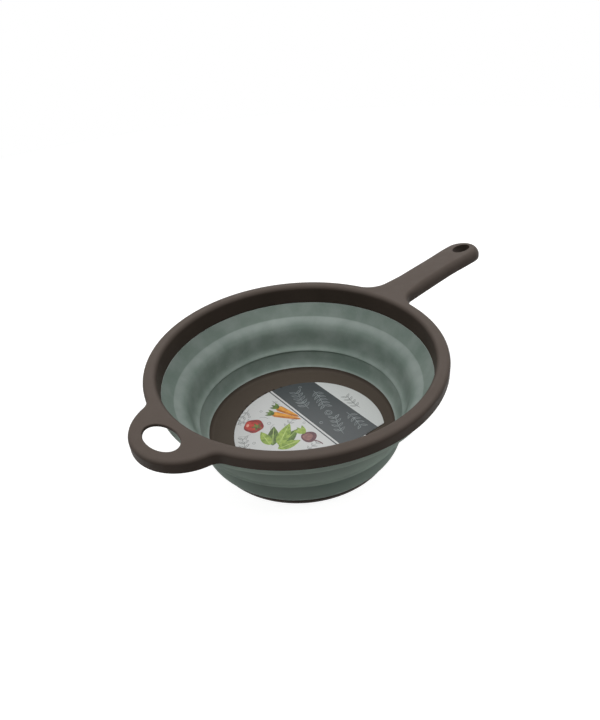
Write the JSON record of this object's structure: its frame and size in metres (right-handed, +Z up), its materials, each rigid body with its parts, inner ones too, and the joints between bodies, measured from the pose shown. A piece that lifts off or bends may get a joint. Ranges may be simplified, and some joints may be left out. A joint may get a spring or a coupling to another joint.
{
  "type": "collapsible colander",
  "caption": "Collapsible colander: a rigid frame with a long handle and a loop handle carries a folding silicone wall round a perforated base plate, with a paper label on its floor.",
  "frame": {"origin": "middle of the whole outline seen from above, on the plane that the foot ring stands on; the bowl's axis is at x = -0.0573 m", "axes": "+X along the long handle, away from the bowl; +Z up; +Y completes a right-handed frame"},
  "size_m": [0.4104, 0.24, 0.088],
  "materials": {
    "brown_plastic": "satin moulded polypropylene",
    "sage_silicone": "matte silicone rubber",
    "printed_paper": "coated printed card"
  },
  "bodies": {
    "base": {"base_plate": "brown_plastic", "lower_wall": "sage_silicone", "fold_web": "sage_silicone", "paper_label": "printed_paper"},
    "rim": {"rim_frame": "brown_plastic", "upper_wall": "sage_silicone"}
  },
  "joints": [
    {"name": "collapse", "type": "slide", "parent": "base", "child": "rim", "axis": [0, 0, -1], "range_m": [0, 0.054], "deforming": ["fold_web"]}
  ]
}
